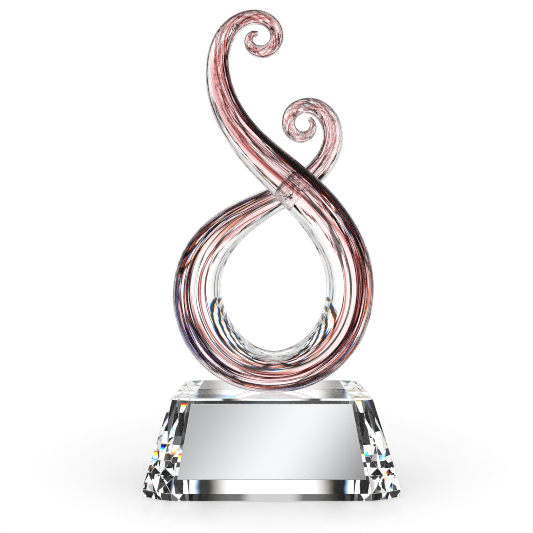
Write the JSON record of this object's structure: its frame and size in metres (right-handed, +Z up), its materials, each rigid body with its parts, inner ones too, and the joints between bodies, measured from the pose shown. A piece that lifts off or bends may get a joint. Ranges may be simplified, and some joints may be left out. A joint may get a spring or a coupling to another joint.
{
  "type": "art glass award",
  "caption": "Art glass award: a clear rod laced with burgundy canes, bent into an open loop with curled ends, on a faceted crystal base with a bare silver plate.",
  "frame": {"origin": "middle of the base's underside, on the surface that the award stands on", "axes": "+Z up, -Y towards the viewer on the plate's side, +X to the viewer's right"},
  "size_m": [0.152, 0.094, 0.2956],
  "materials": {
    "crystal": "cut and polished optical crystal",
    "silver_plate": "satin silver, bare",
    "plate_tape": "thin double-sided tape",
    "clear_rod": "clear glass, fire polished",
    "foot_bond": "clear light-cured bond",
    "burgundy_cane": "burgundy colour cane, fused in the rod",
    "rose_cane": "rose colour cane, fused in the rod"
  },
  "bodies": {
    "root": {"crystal_base": "crystal", "engraving_plate": "silver_plate", "plate_tape": "plate_tape", "glass_rod": "clear_rod", "foot_bond": "foot_bond", "colour_cane_1": "burgundy_cane", "colour_cane_2": "rose_cane", "colour_cane_3": "burgundy_cane", "colour_cane_4": "rose_cane", "colour_cane_5": "burgundy_cane", "colour_cane_6": "rose_cane", "colour_cane_7": "burgundy_cane", "colour_cane_8": "rose_cane"}
  },
  "joints": []
}
